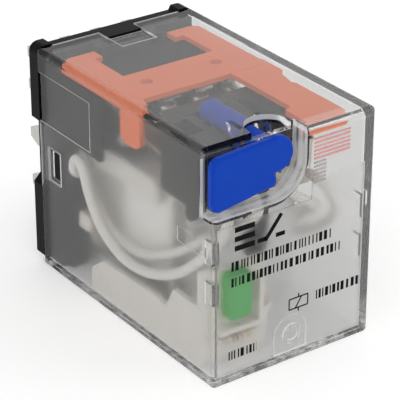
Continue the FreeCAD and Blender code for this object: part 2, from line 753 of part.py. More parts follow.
def test_plunger():
    """Push shaft with the small pivot pin that the lever turns on."""
    shaft = rod_y(lever_x, lever_z, shaft_radius, lever_back_y + 0.05, shaft_end_y)
    shaft = round_edges(shaft, 0.3, lambda edge: abs(edge.CenterOfMass.y - shaft_end_y) < 0.01)
    pin = rod_y(lever_x, lever_z, pin_radius, lever_back_y - 0.5, lever_back_y + 0.1)
    return join([shaft, pin])


def test_lever():
    """Blue paddle with a round hub, lying left across the pocket."""
    outline = [(-10.6, 7.9), (-10.3, 7.2), (-9.6, 6.95), (-2.5, 8.0), (-2.15, 8.4),
               (-2.2, 9.2), (-2.6, 9.75), (-2.1, 11.0), (-2.1, 13.6), (-4.3, 13.55),
               (-9.7, 13.2), (-10.4, 12.8), (-10.6, 12.1)]
    paddle = plate_xz(outline, lever_front_y, lever_back_y)
    hub = rod_y(lever_x, lever_z, hub_radius, lever_front_y, lever_back_y)
    solid = join([paddle, hub])
    solid = solid.cut(rod_y(lever_x, lever_z, pin_radius + pin_play, lever_back_y - 0.55, 0))

    def front_rim(edge):
        return all(abs(vertex.Point.y - lever_front_y) < 0.01 for vertex in edge.Vertexes)

    return round_edges(solid, lever_round, front_rim)


# ---- all nodes -----------------------------------------------------------------------------
def all_nodes():
    """Every sub-part by node name, in its released, unpushed position."""
    nodes = {"cover": cover()}
    terminals = {}
    for number, x in enumerate(pole_x, 1):
        terminals["nc_terminal_%d" % number] = nc_terminal(x)
        terminals["no_terminal_%d" % number] = no_terminal(x)
        terminals["com_terminal_%d" % number] = com_terminal(x)
    terminals["coil_terminal_1"] = coil_terminal(pole_x[0])
    terminals["coil_terminal_2"] = coil_terminal(pole_x[3])
    nodes["base"] = base(list(terminals.values()))
    nodes.update(terminals)
    for number, x in enumerate(pole_x, 1):
        nodes["nc_contact_%d" % number] = nc_contact(x)
        nodes["no_contact_%d" % number] = no_contact(x)

    nodes["yoke"] = yoke()
    nodes["coil_core"] = coil_core()
    nodes["bobbin"] = bobbin()
    nodes["coil_winding"] = coil_winding()
    nodes["coil_tape"] = coil_tape()
    nodes["lamp_bracket"] = lamp_bracket()
    nodes["lamp_board"] = lamp_board()
    nodes["lamp"] = lamp()
    nodes["resistor"] = resistor()
    for number, wire in enumerate(com_wires(), 1):
        nodes["com_wire_%d" % number] = wire

    plate = armature_plate()
    springs = [moving_spring(x, y) for x, y in zip(pole_x, foot_y)]
    contacts = [moving_contact(x) for x in pole_x]
    nodes["armature_plate"] = released(plate)
    nodes["contact_carrier"] = released(contact_carrier([plate] + springs))
    for number, (spring, contact) in enumerate(zip(springs, contacts), 1):
        nodes["moving_spring_%d" % number] = released(spring.cut(contact))
        nodes["moving_contact_%d" % number] = released(contact)

    nodes["armature_spring"] = armature_spring()
    nodes["flag_card"] = flag_card().cut(flag_socket())
    nodes["test_plunger"] = test_plunger()
    nodes["test_lever"] = test_lever()
    return nodes


os.makedirs("parts", exist_ok=True)
for node, shape in all_nodes().items():
    solids = len(shape.Solids)
    if solids != 1 or not shape.isValid():
        print("check", node, "solids", solids, "valid", shape.isValid())
    shape.exportStep(os.path.join("parts", node + ".step"))
print("moving contact released at", released_contact)
print("nc contact face", round(nc_contact_face, 3), "nc arm", round(nc_arm_low, 3))
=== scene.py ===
import json
import math
import random

import bmesh
import bpy
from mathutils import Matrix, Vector, noise


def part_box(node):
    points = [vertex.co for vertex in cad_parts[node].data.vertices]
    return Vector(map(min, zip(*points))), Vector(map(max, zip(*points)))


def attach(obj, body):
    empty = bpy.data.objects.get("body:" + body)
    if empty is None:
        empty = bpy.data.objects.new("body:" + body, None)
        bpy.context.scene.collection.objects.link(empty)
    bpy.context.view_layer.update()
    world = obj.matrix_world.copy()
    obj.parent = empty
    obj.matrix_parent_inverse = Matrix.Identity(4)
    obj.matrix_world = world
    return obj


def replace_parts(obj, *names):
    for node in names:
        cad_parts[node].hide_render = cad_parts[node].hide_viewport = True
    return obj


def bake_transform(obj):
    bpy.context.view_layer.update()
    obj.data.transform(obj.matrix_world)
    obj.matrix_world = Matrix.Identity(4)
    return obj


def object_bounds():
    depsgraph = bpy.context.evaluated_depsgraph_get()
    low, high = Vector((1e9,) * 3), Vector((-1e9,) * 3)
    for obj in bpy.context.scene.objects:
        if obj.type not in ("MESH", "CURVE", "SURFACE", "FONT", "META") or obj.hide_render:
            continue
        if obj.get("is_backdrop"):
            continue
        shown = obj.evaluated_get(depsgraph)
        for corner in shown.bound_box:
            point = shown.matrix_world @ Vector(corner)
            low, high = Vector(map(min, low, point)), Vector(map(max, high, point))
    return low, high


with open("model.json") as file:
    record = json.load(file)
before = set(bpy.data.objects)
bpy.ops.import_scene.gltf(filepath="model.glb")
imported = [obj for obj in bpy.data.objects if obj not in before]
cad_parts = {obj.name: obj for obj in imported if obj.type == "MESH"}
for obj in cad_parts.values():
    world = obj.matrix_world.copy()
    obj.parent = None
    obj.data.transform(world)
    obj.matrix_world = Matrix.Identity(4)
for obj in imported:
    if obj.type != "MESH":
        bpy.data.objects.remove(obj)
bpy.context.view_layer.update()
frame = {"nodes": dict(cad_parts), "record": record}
nodes = frame["nodes"]
MM = 0.001

# sizes of the clear cover, as in the CAD source
wall = 0.95 * MM
front_wall = 0.85 * MM
rib_height = 0.12 * MM       # window ribs and the ring stand this far off the front
flag_behind_ribs_above = 9.9 * MM    # the upper ribs lie in front of the orange flag, and are painted with its colour as if seen through them
corner_radius = 4 * MM       # lower right corner of the lever pocket, and its centre
corner_x = -2.7 * MM
corner_z = 10.4 * MM
face_reach_mm = 0.05         # a mask for one of its faces reaches this far

# the two gate dimples in the flag card
dimple_x = 4.7 * MM
dimple_y = -15 * MM
dimple_reach_mm = 0.8


# ---- node graph helpers --------------------------------------------------------------------
class Graph:
    """A material's node tree with short ways to add and join nodes."""

    def __init__(self, name):
        self.material = bpy.data.materials.new(name)
        self.material.use_nodes = True
        self.tree = self.material.node_tree
        self.tree.nodes.clear()
        self.output = self.tree.nodes.new("ShaderNodeOutputMaterial")

    def put(self, socket, value):
        """Join an output to a socket, or set the socket's own value."""
        if isinstance(value, bpy.types.NodeSocket):
            self.tree.links.new(value, socket)
        elif isinstance(value, tuple) and len(value) == 3 and len(socket.default_value) == 4:
            socket.default_value = (*value, 1.0)
        else:
            socket.default_value = value

    def add(self, kind, inputs=None, **settings):
        """A new node with its settings and inputs filled in."""
        node = self.tree.nodes.new("ShaderNode" + kind)
        for key, value in settings.items():
            setattr(node, key, value)
        for key, value in (inputs or {}).items():
            self.put(node.inputs[key], value)
        return node

    def place(self):
        """Coordinates that stay with the piece, in metres."""
        return self.add("TexCoord").outputs["Object"]

    def axis(self, letter):
        """One coordinate of the piece, in metres."""
        return self.add("SeparateXYZ", {0: self.place()}).outputs[letter]

    def along(self, letter):
        """Coordinate round (X) or along (Y) a swept tube, the second in metres."""
        return self.add("SeparateXYZ", {0: self.add("UVMap").outputs["UV"]}).outputs[letter]

    def noise(self, per_mm, detail=3.0, stretch=(1, 1, 1)):
        """Soft noise, 0 to 1, with so many features a millimetre."""
        scaled = self.add("VectorMath", {0: self.place(), 1: stretch}, operation="MULTIPLY")
        node = self.add("TexNoise", {"Vector": scaled.outputs[0], "Scale": per_mm / MM,
                                     "Detail": detail, "Roughness": 0.55})
        return node.outputs["Fac"]

    def math(self, operation, first, second=0.0, third=0.0):
        """One sum on values or sockets."""
        node = self.add("Math", operation=operation)
        for index, value in enumerate((first, second, third)):
            self.put(node.inputs[index], value)
        return node.outputs[0]

    def span(self, value, low, high):
        """A 0 to 1 value stretched to run from low to high."""
        return self.add("MapRange", {"Value": value, "To Min": low, "To Max": high}).outputs[0]

    def step(self, value, start, end):
        """0 before start and 1 after end."""
        return self.add("MapRange", {"Value": value, "From Min": start,
                                     "From Max": end}).outputs[0]

    def wave(self, value, pitch):
        """Sine of a coordinate, 0 to 1, repeating each pitch."""
        turned = self.math("SINE", self.math("MULTIPLY", value, 2 * math.pi / pitch))
        return self.math("MULTIPLY_ADD", turned, 0.5, 0.5)

    def blend(self, share, first, second):
        """A colour that goes from the first to the second."""
        node = self.add("Mix", data_type="RGBA")
        for index, value in ((0, share), (6, first), (7, second)):
            self.put(node.inputs[index], value)
        return node.outputs[2]

    def bump(self, height, strength, depth_mm):
        """A normal that makes 0 to 1 heights stand up by a depth."""
        node = self.add("Bump", {"Height": height, "Strength": strength,
                                 "Distance": depth_mm * MM})
        return node.outputs["Normal"]

    def surface(self, inputs):
        """Finish with one Principled shader."""
        shader = self.add("BsdfPrincipled", inputs)
        self.tree.links.new(shader.outputs[0], self.output.inputs["Surface"])
        return self.material


def plastic(name, dark, light, rough, gloss=0.4):
    """Moulded plastic: mottled colour, fine grain, rubbed patches and uneven polish."""
    g = Graph(name)
    cloud = g.noise(0.35, 4.0)
    grain = g.noise(6.0, 2.0)
    rubbed = g.step(g.noise(1.3, 5.0), 0.56, 0.72)
    polish = g.math("MULTIPLY", rubbed, -0.1)
    return g.surface({"Base Color": g.blend(cloud, dark, light),
                      "Roughness": g.math("ADD", g.span(grain, rough - 0.06, rough + 0.1),
                                          polish),
                      "Specular IOR Level": gloss,
                      "Normal": g.bump(grain, 0.35, 0.012)})


def metal(name, dark, light, rough, rolled=False):
    """Bare or plated metal with a fine grain, dull patches and worn places.

    A rolled metal's grain runs along Y, and its wear is fine scratches across that grain.
    """
    g = Graph(name)
    grain = g.noise(8.0, 3.0, (1, 0.15, 1) if rolled else (1, 1, 1))
    patch = g.noise(0.5, 3.0)
    wear = g.noise(2.2, 1.0, (0.08, 3.0, 0.08) if rolled else (0.08, 0.08, 0.08))
    worn = g.step(wear, 0.62, 0.7)
    tone = g.blend(patch, dark, light)
    return g.surface({"Base Color": g.blend(worn, tone, light), "Metallic": 1.0,
                      "Roughness": g.span(grain, rough - 0.1, rough + 0.15),
                      "Normal": g.bump(grain, 0.25, 0.008)})


def near(g, value, target, reach_mm):
    """1 where a value is within so many millimetres of a target."""
    return g.math("COMPARE", value, target, reach_mm * MM)


def all_of(g, *tests):
    """1 where every test is 1."""
    result = tests[0]
    for test in tests[1:]:
        result = g.math("MULTIPLY", result, test)
    return result


def moulded_steps(g, low, high):
    """1 on the cover's small outside steps: recesses in its sides, and window edges."""
    margin = 1.2 * MM            # keeps the steps' masks off the cover's own outer faces
    front_y = low.y + rib_height
    across = g.math("ABSOLUTE", g.axis("X"))
    up = g.math("ABSOLUTE", g.axis("Z"))
    depth = g.math("SUBTRACT", g.axis("Y"), front_y)
    turned = g.add("SeparateXYZ", {0: g.add("TexCoord").outputs["Normal"]})
    edge_on = {letter: g.math("LESS_THAN", g.math("ABSOLUTE", turned.outputs[letter]), 0.3)
               for letter in "XYZ"}
    off_sides = g.math("LESS_THAN", across, high.x - margin)
    off_top = g.math("LESS_THAN", up, high.z - margin)
    side_step = all_of(g, edge_on["X"], g.math("GREATER_THAN", across, high.x - 0.4 * MM),
                       off_top, g.math("GREATER_THAN", depth, margin))
    top_step = all_of(g, edge_on["Z"], g.math("GREATER_THAN", up, high.z - 0.6 * MM),
                      off_sides, g.math("GREATER_THAN", depth, 4 * MM))
    front_step = all_of(g, edge_on["Y"], g.math("LESS_THAN", depth, 0.4 * MM),
                        off_sides, off_top)
    return g.math("MAXIMUM", g.math("MAXIMUM", side_step, top_step), front_step)


def pocket_corner(g, low):
    """1 on the curved wall round the lever pocket, and its painted highlight: a pale tone cut by
    two clear contour lines.
    """
    depth = g.math("SUBTRACT", g.axis("Y"), low.y + rib_height)
    right_of = g.math("MAXIMUM", g.math("SUBTRACT", g.axis("X"), corner_x), 0.0)
    under = g.math("MAXIMUM", g.math("SUBTRACT", corner_z, g.axis("Z")), 0.0)
    spread = g.math("POWER", g.math("ADD", g.math("MULTIPLY", right_of, right_of),
                                    g.math("MULTIPLY", under, under)), 0.5)
    pocket = all_of(g, near(g, spread, corner_radius, 0.06),
                    g.math("LESS_THAN", depth, 2.5 * MM))
    contours = g.math("MAXIMUM", near(g, depth, 0.55 * MM, 0.14),
                      near(g, depth, 1.65 * MM, 0.17))
    return pocket, g.math("MULTIPLY", pocket, g.span(contours, 0.5, 0.05))


def clear_plastic():
    """Clear cover: polished outside, frosted inside, with painted highlights, pale and less
    clear, on its moulded steps and pocket walls.
    """
    g = Graph("clear_cover")
    low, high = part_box("cover")
    front_y = low.y + rib_height
    y, z = g.axis("Y"), g.axis("Z")

    # painted light, pale and less clear: painted highlights on the steps and the pocket wall,
    # painted light patches on the cover's floor, a painted pale strip under its top at the front,
    # and the ribs, painted with what shows through them
    pocket, pocket_painted_light = pocket_corner(g, low)
    under_wall = near(g, z, low.z + wall, face_reach_mm)
    # painted light: noisy pale patches on the inner floor of the cover lighten the shaded band
    # along its bottom
    painted_light_patches = g.span(g.step(g.noise(0.9, 4.0), 0.46, 0.54), 0.0, 0.5)
    top_strip = all_of(g, near(g, z, high.z - wall, face_reach_mm),
                       g.math("LESS_THAN", y, front_y + 2.6 * MM))
    pale = pocket_painted_light
    for mask, share in ((moulded_steps(g, low, high), 0.6), (under_wall, painted_light_patches),
                        (top_strip, 0.22)):
        pale = g.math("MAXIMUM", pale, g.math("MULTIPLY", mask, share))
    # painted view: the ribs take the grey and, above, the orange-red of what lies behind them,
    # and let less light through
    rib = g.math("LESS_THAN", y, front_y - 0.02 * MM)
    rib_painted_view = g.blend(g.math("GREATER_THAN", z, flag_behind_ribs_above), (0.42, 0.4, 0.39),
                       (0.72, 0.3, 0.29))
    # painted light: the pale parts are whiter here, and let less light through below
    tint = g.blend(pale, (0.8, 0.8, 0.795), (0.93, 0.93, 0.92))
    tint = g.blend(rib, tint, rib_painted_view)
    pale = g.math("MAXIMUM", pale, g.math("MULTIPLY", rib, 0.45))

    # frost on the inner faces of the side walls, front, pocket and floor
    sides = near(g, g.math("ABSOLUTE", g.axis("X")), high.x - wall, face_reach_mm)
    front = near(g, y, front_y + front_wall, 0.04)
    rough = g.span(g.noise(5.0, 2.0), 0.03, 0.07)
    for mask, frost in ((sides, 0.24), (front, 0.27), (pocket, 0.25), (under_wall, 0.25)):
        rough = g.math("ADD", rough, g.math("MULTIPLY", mask, frost))
    ripple = g.bump(g.noise(0.16, 1.0), 0.5, 0.05)
    glass = g.add("BsdfPrincipled", {"Base Color": tint, "IOR": 1.32,
                                     "Transmission Weight": g.math("SUBTRACT", 1.0, pale),
                                     "Roughness": rough,
                                     "Specular IOR Level": 0.12, "Normal": ripple})

    # light from the lamps and from pieces inside passes straight through
    open_way = g.add("BsdfTransparent", {"Color": (0.93, 0.93, 0.93)})
    path = g.add("LightPath")
    lamp_ray = g.math("MAXIMUM", path.outputs["Is Shadow Ray"], path.outputs["Is Diffuse Ray"])
    both = g.add("MixShader", {0: lamp_ray, 1: glass.outputs[0], 2: open_way.outputs[0]})
    g.tree.links.new(both.outputs[0], g.output.inputs["Surface"])
    return g.material


def flag_plastic():
    """Orange moulding of the flag card, with shade in the two gate dimples."""
    g = Graph("orange_flag")
    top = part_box("flag_card")[1].z
    grain = g.noise(6.0, 2.0)
    sunk = g.math("LESS_THAN", g.axis("Z"), top - 0.04 * MM)
    level_with = near(g, g.axis("Y"), dimple_y, dimple_reach_mm)
    beside = near(g, g.math("ABSOLUTE", g.axis("X")), dimple_x, dimple_reach_mm)
    shade = g.math("MULTIPLY", all_of(g, sunk, level_with, beside), 0.4)
    tone = g.blend(g.noise(0.35, 4.0), (0.82, 0.15, 0.035), (0.9, 0.2, 0.055))
    return g.surface({"Base Color": g.blend(shade, tone, (0.2, 0.02, 0.01)),
                      "Roughness": g.span(grain, 0.34, 0.5), "Specular IOR Level": 0.4,
                      "Normal": g.bump(grain, 0.35, 0.012)})


def wound_copper():
    """Enamelled copper wound in level turns."""
    g = Graph("enamelled_copper")
    turns = g.wave(g.axis("Y"), 0.14 * MM)
    shade = g.noise(1.2, 3.0)
    return g.surface({"Base Color": g.blend(shade, (0.5, 0.16, 0.07), (0.72, 0.27, 0.12)),
                      "Metallic": 0.7, "Roughness": g.span(turns, 0.2, 0.4),
                      "Normal": g.bump(turns, 0.8, 0.03)})


def lapped_tape():
    """White tape wrapped in laps, with a faint weave, and painted shade that darkens it towards
    the rear.
    """
    g = Graph("white_tape")
    lap_width, thread = 7.3 * MM, 0.22 * MM
    along = g.axis("Y")
    lap = g.math("FRACT", g.math("MULTIPLY", along, 1 / lap_width))
    weave = g.math("MULTIPLY", g.wave(along, thread), g.wave(g.axis("Z"), thread))
    relief = g.math("ADD", g.math("MULTIPLY", weave, 0.25), g.step(lap, 0.0, 0.02))
    tone = g.blend(g.noise(0.5, 4.0), (0.78, 0.76, 0.72), (0.9, 0.88, 0.84))
    # painted shade: the tape turns darker towards the rear end of the winding
    rear_painted_shade = g.step(along, -14.6 * MM, -12.8 * MM)
    tone = g.blend(rear_painted_shade, tone, (0.48, 0.46, 0.42))
    return g.surface({"Base Color": tone, "Roughness": g.span(weave, 0.42, 0.56),
                      "Normal": g.bump(relief, 0.5, 0.03)})


def braided_sleeve():
    """White woven sleeve: two sets of threads that cross round the wire."""
    g = Graph("white_sleeve")
    threads_round, thread_pitch = 10.0, 0.7 * MM
    round_it = g.math("MULTIPLY", g.along("X"), threads_round)
    down_it = g.math("MULTIPLY", g.along("Y"), 1 / thread_pitch)
    left = g.wave(g.math("ADD", round_it, down_it), 1.0)
    right = g.wave(g.math("SUBTRACT", round_it, down_it), 1.0)
    relief = g.math("MAXIMUM", left, right)
    tone = g.blend(g.noise(0.8, 4.0), (0.78, 0.76, 0.72), (0.88, 0.86, 0.82))
    # painted shade: the colour is darker in the gaps between the threads
    return g.surface({"Base Color": g.blend(relief, (0.62, 0.6, 0.56), tone),
                      "Roughness": g.span(relief, 0.68, 0.5),
                      "Normal": g.bump(relief, 0.6, 0.05)})


def banded_body():
    """Resistor lacquer with four painted bands, placed along X."""
    g = Graph("resistor_body")
    low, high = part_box("resistor")
    centre = (low.x + high.x) / 2
    half_band = 0.13 * MM
    tone = g.blend(g.noise(0.9, 3.0), (0.62, 0.58, 0.48), (0.7, 0.66, 0.56))
    bands = ((-1.15, (0.3, 0.2, 0.12)), (-0.55, (0.12, 0.12, 0.12)),
             (0.05, (0.4, 0.2, 0.17)), (1.0, (0.5, 0.4, 0.2)))
    for offset, colour in bands:
        inside = g.math("COMPARE", g.axis("X"), centre + offset * MM, half_band)
        tone = g.blend(inside, tone, colour)
    return g.surface({"Base Color": tone, "Roughness": g.span(g.noise(6.0), 0.28, 0.42),
                      "Normal": g.bump(g.noise(4.0, 2.0), 0.3, 0.01)})


finishes = {
    "clear_cover": clear_plastic(),
    "black_base": plastic("black_moulding", (0.002, 0.002, 0.0025), (0.005, 0.005, 0.0055),
                          0.42, gloss=0.05),
    "blade_metal": metal("tinned_brass", (0.4, 0.39, 0.36), (0.62, 0.61, 0.58), 0.3,
                         rolled=True),
    "contact_silver": metal("contact_silver", (0.7, 0.7, 0.7), (0.86, 0.85, 0.83), 0.28),
    "magnet_iron": metal("zinc_iron", (0.66, 0.66, 0.66), (0.84, 0.84, 0.82), 0.42),
    "white_moulding": plastic("white_moulding", (0.68, 0.65, 0.6), (0.78, 0.75, 0.7), 0.42),
    "enamelled_copper": wound_copper(),
    "white_tape": lapped_tape(),
    "circuit_board": plastic("circuit_board", (0.55, 0.6, 0.4), (0.62, 0.66, 0.48), 0.45),
    "green_lens": plastic("green_lens", (0.07, 0.38, 0.09), (0.11, 0.46, 0.13), 0.25),
    "resistor_body": banded_body(),
    "white_sleeve": braided_sleeve(),
    "spring_steel": metal("spring_steel", (0.45, 0.45, 0.46), (0.6, 0.6, 0.6), 0.25),
    "spring_bronze": metal("spring_bronze", (0.62, 0.56, 0.48), (0.76, 0.71, 0.64), 0.3,
                           rolled=True),
    "dark_moulding": plastic("dark_moulding", (0.012, 0.013, 0.012), (0.03, 0.031, 0.03),
                             0.45, gloss=0.25),
    "orange_flag": flag_plastic(),
    "blue_lever": plastic("blue_lever", (0.0, 0.036, 0.35), (0.0, 0.052, 0.43), 0.38,
                          gloss=0.1),
}
for entry in frame["record"]["subparts"]:
    piece = nodes[entry["node"]]
    piece.data.materials.clear()
    piece.data.materials.append(finishes[entry["material_slot"]])


# ---- mesh helpers --------------------------------------------------------------------------
def new_piece(name, work, slot, smooth=True):
    """A visible piece from a bmesh, which takes its finish from a record slot."""
    bmesh.ops.recalc_face_normals(work, faces=work.faces)
    mesh = bpy.data.meshes.new(name)
    work.to_mesh(mesh)
    work.free()
    mesh.materials.append(finishes[slot])
    for face in mesh.polygons:
        face.use_smooth = smooth
    piece = bpy.data.objects.new(name, mesh)
    bpy.context.scene.collection.objects.link(piece)
    return piece


def smooth_line(points):
    """Points, in metres, on the NURBS line that a route in millimetres steers."""
    data = bpy.data.curves.new("route", "CURVE")
    data.dimensions = "3D"
    spline = data.splines.new("NURBS")
    spline.points.add(len(points) - 1)
    for control, (x, y, z) in zip(spline.points, points):
        control.co = (x * MM, y * MM, z * MM, 1.0)
    spline.order_u = 3
    spline.use_endpoint_u = True
    spline.resolution_u = 8
    holder = bpy.data.objects.new("route", data)
    bpy.context.scene.collection.objects.link(holder)
    mesh = bpy.data.meshes.new_from_object(holder)
    line = [vertex.co.copy() for vertex in mesh.vertices]
    bpy.data.objects.remove(holder)
    bpy.data.curves.remove(data)
    bpy.data.meshes.remove(mesh)
    return line


def sweep(work, line, radius_at, sides=20):
    """Add a closed tube along a line; radius_at gives its radius, in metres, at a length."""
    layer = work.loops.layers.uv.verify()
    tangent = (line[1] - line[0]).normalized()
    across = tangent.orthogonal().normalized()
    length = 0.0
    rings = []
    for index, point in enumerate(line):
        ahead = line[min(index + 1, len(line) - 1)] - line[max(index - 1, 0)]
        turn = tangent.rotation_difference(ahead.normalized())
        across = (turn @ across).normalized()
        tangent = ahead.normalized()
        other = tangent.cross(across)
        if index:
            length += (point - line[index - 1]).length
        radius = radius_at(length)
        ring = []
        for side in range(sides):
            angle = 2 * math.pi * side / sides
            offset = across * math.cos(angle) + other * math.sin(angle)
            ring.append(work.verts.new(point + offset * radius))
        rings.append((length, ring))
    for (start, first), (end, second) in zip(rings, rings[1:]):
        for side in range(sides):
            beyond = (side + 1) % sides
            face = work.faces.new((first[side], first[beyond], second[beyond], second[side]))
            corners = ((side, start), (side + 1, start), (side + 1, end), (side, end))
            for loop, (u, v) in zip(face.loops, corners):
                loop[layer].uv = (u / sides, v)
    for _, ring in (rings[0], rings[-1]):
        work.faces.new(ring)


def line_length(line):
    """Length of a line of points."""
    return sum((b - a).length for a, b in zip(line, line[1:]))


def tube(name, points, radius_mm, slot):
    """One smooth round tube along a route in millimetres."""
    work = bmesh.new()
    sweep(work, smooth_line(points), lambda length: radius_mm * MM)
    return new_piece(name, work, slot)


def add_block(work, low, high):
    """Add a block between two corners, in millimetres."""
    verts = [work.verts.new((x * MM, y * MM, z * MM)) for x in (low[0], high[0])
             for y in (low[1], high[1]) for z in (low[2], high[2])]
    for quad in ((0, 1, 3, 2), (4, 6, 7, 5), (0, 4, 5, 1), (2, 3, 7, 6), (0, 2, 6, 4),
                 (1, 5, 7, 3)):
        work.faces.new([verts[index] for index in quad])


def add_prism(work, outline, start, end, normal):
    """Add a flat outline, in millimetres, pushed from start to end along X or Y.

    The outline is drawn in Y and Z for X, and in X and Z for Y.
    """
    ends = []
    for level in (start, end):
        points = [(level, u, v) if normal == "X" else (u, level, v) for u, v in outline]
        ends.append([work.verts.new((x * MM, y * MM, z * MM)) for x, y, z in points])
    first, second = ends
    work.faces.new(first)
    work.faces.new(second[::-1])
    for index, vertex in enumerate(first):
        before = index - 1
        work.faces.new((first[before], vertex, second[index], second[before]))


def add_lump(work, centre, radii, seed):
    """Add a slightly uneven rounded blob, in millimetres."""
    made = bmesh.ops.create_icosphere(work, subdivisions=3, radius=1.0)
    middle = Vector(centre) * MM
    for vertex in made["verts"]:
        unit = vertex.co.copy()
        swell = 1 + 0.12 * noise.noise(unit * 1.7 + Vector((seed, 0, 0)))
        vertex.co = middle + Vector([unit[axis] * radii[axis] * MM for axis in range(3)]) * swell


def lathe_x(work, centre, profile, sides=24):
    """Add a turned shape about an X axis; profile gives (x, radius) in millimetres."""
    rings = []
    for x, radius in profile:
        ring = []
        for side in range(sides):
            angle = 2 * math.pi * side / sides
            ring.append(work.verts.new(((centre[0] + x) * MM,
                                        (centre[1] + radius * math.cos(angle)) * MM,
                                        (centre[2] + radius * math.sin(angle)) * MM)))
        rings.append(ring)
    for first, second in zip(rings, rings[1:]):
        for side in range(sides):
            beyond = (side + 1) % sides
            work.faces.new((first[side], first[beyond], second[beyond], second[side]))
    work.faces.new(rings[0])
    work.faces.new(rings[-1])


# ---- flexible wires --------------------------------------------------------------------------
outer_run = [(-7.0, -6.5, -0.4), (-9.1, -6.9, -0.3), (-9.1, -7.2, 2.2), (-9.1, -8.9, 2.2),
             (-9.1, -10.2, -1.6), (-9.1, -12.8, -4.9), (-9.1, -17.0, -6.7), (-9.1, -21.8, -6.4),
             (-9.1, -27.2, -4.2), (-9.0, -31.3, -0.9)]
inner_run = [(-2.95, -6.1, 2.5), (-5.8, -6.1, 3.0), (-7.75, -6.7, 2.4), (-7.8, -9.0, -2.0),
             (-7.8, -11.7, -4.9), (-7.8, -16.0, -6.2), (-7.8, -21.0, -5.1), (-7.8, -27.6, -1.3),
             (-7.4, -30.3, 1.1)]
left_outer = outer_run + [(-8.7, -32.6, 1.0), (-7.4, -33.0, 3.0), (-6.6, -33.0, 4.7),
                          (-6.6, -31.1, 4.7)]
left_inner = inner_run + [(-4.4, -32.5, 2.6), (-2.3, -33.0, 4.6), (-2.2, -31.1, 4.7)]
right_inner = inner_run + [(-4.6, -31.6, 2.6), (-2.4, -31.2, 4.5), (-2.2, -28.9, 4.7)]
right_outer = outer_run + [(-8.6, -32.0, 1.6), (-7.2, -31.9, 4.0), (-6.6, -30.9, 4.7),
                           (-6.6, -28.9, 4.7)]


def mirrored(points):
    """The same route on the other side of the middle plane."""
    return [(-x, y, z) for x, y, z in points]


def sleeved_wire(name, route):
    """Woven sleeve that ends short of both soldered ends, where the bare braid shows."""
    line = smooth_line(route)
    total = line_length(line)
    bare, braid_radius, sleeve_radius = 0.5 * MM, 0.42 * MM, 0.6 * MM

    def radius_at(length):
        return braid_radius if min(length, total - length) < bare else sleeve_radius

    work = bmesh.new()
    sweep(work, line, radius_at)
    wire = new_piece(name, work, "white_sleeve")
    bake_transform(wire)
    return wire


routes = [left_outer, left_inner, mirrored(right_inner), mirrored(right_outer)]
for number, route in enumerate(routes, 1):
    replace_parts(sleeved_wire("sleeve_%d" % number, route), "com_wire_%d" % number)


def solder_joints():
    """Solder at both ends of each wire: on the spring feet and on the terminals."""
    front = bmesh.new()
    rear = bmesh.new()
    for seed, route in enumerate(routes):
        x, y, z = route[-1]
        add_lump(front, (x, y + 0.1, z), (0.66, 0.3, 0.66), seed)
        x, y, z = route[0]
        add_lump(rear, (x * 0.985, y, z), (0.42, 0.7, 0.7), seed + 5)
    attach(new_piece("solder_front", front, "contact_silver"), "armature")
    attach(new_piece("solder_rear", rear, "contact_silver"), "case")


def return_spring():
    """Fine tension spring with a hook at each end, stretched from heel to lug."""
    low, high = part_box("armature_spring")
    y_front, y_rear = low.y / MM + 0.15, high.y / MM - 0.15
    centre_z = (low.z + high.z) / 2 / MM
    turns, steps_a_turn, coil, half_wire = 15, 14, 0.42, 0.1 * MM
    steps = turns * steps_a_turn
    line = [(0, y_front - 0.55, centre_z + 0.35), (0, y_front - 0.75, centre_z),
            (0, y_front - 0.3, centre_z - 0.35)]
    for step in range(steps + 1):
        angle = 2 * math.pi * step / steps_a_turn
        y = y_front + (y_rear - y_front) * step / steps
        line.append((coil * math.sin(angle), y, centre_z - coil * math.cos(angle)))
    line += [(0, y_rear + 0.2, centre_z - 0.3), (0, y_rear + 0.45, centre_z)]
    work = bmesh.new()
    sweep(work, [Vector(point) * MM for point in line], lambda length: half_wire, sides=8)
    spring = new_piece("return_spring", work, "spring_steel")
    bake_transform(spring)
    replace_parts(spring, "armature_spring")


def series_resistor():
    """Resistor with a waisted body on legs bent back towards the board."""
    low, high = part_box("resistor")
    middle = [(a + b) / 2 / MM for a, b in zip(low, high)]
    work = bmesh.new()
    lathe_x(work, middle, [(-1.62, 0.2), (-1.6, 0.36), (-1.5, 0.5), (-1.3, 0.54), (-1.0, 0.5),
                           (-0.8, 0.44), (0.8, 0.44), (1.0, 0.5), (1.3, 0.54), (1.5, 0.5),
                           (1.6, 0.36), (1.62, 0.2)])
    body = new_piece("resistor_body", work, "resistor_body")
    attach(body, "case")
    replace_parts(body, "resistor")
    x, y, z = middle
    for side in (-1, 1):
        route = [(x + side * 1.5, y, z), (x + side * 2.2, y, z), (x + side * 2.45, y + 0.05, z),
                 (x + side * 2.5, y + 0.3, z), (x + side * 2.5, y + 0.65, z)]
        leg = tube("resistor_leg_%s" % ("left" if side < 0 else "right"), route, 0.17,
                   "contact_silver")
        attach(leg, "case")


def coil_leads():
    """Thin winding ends, wrapped round the bobbin's lugs and led to the coil blades."""
    for side in (-1, 1):
        route = [(side * 6.6, -9.9, -5.2), (side * 7.3, -9.85, -4.7), (side * 7.6, -8.4, -4.6),
                 (side * 7.7, -6.9, -5.0), (side * 7.8, -6.95, -7.1), (side * 7.9, -9.9, -7.1),
                 (side * 8.0, -9.9, -4.7), (side * 8.1, -7.0, -4.7), (side * 8.1, -6.9, -6.9),
                 (side * 7.5, -6.6, -7.4), (side * 6.95, -6.4, -7.2)]
        lead = tube("coil_lead_%s" % ("left" if side < 0 else "right"), route, 0.09,
                    "enamelled_copper")
        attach(lead, "case")


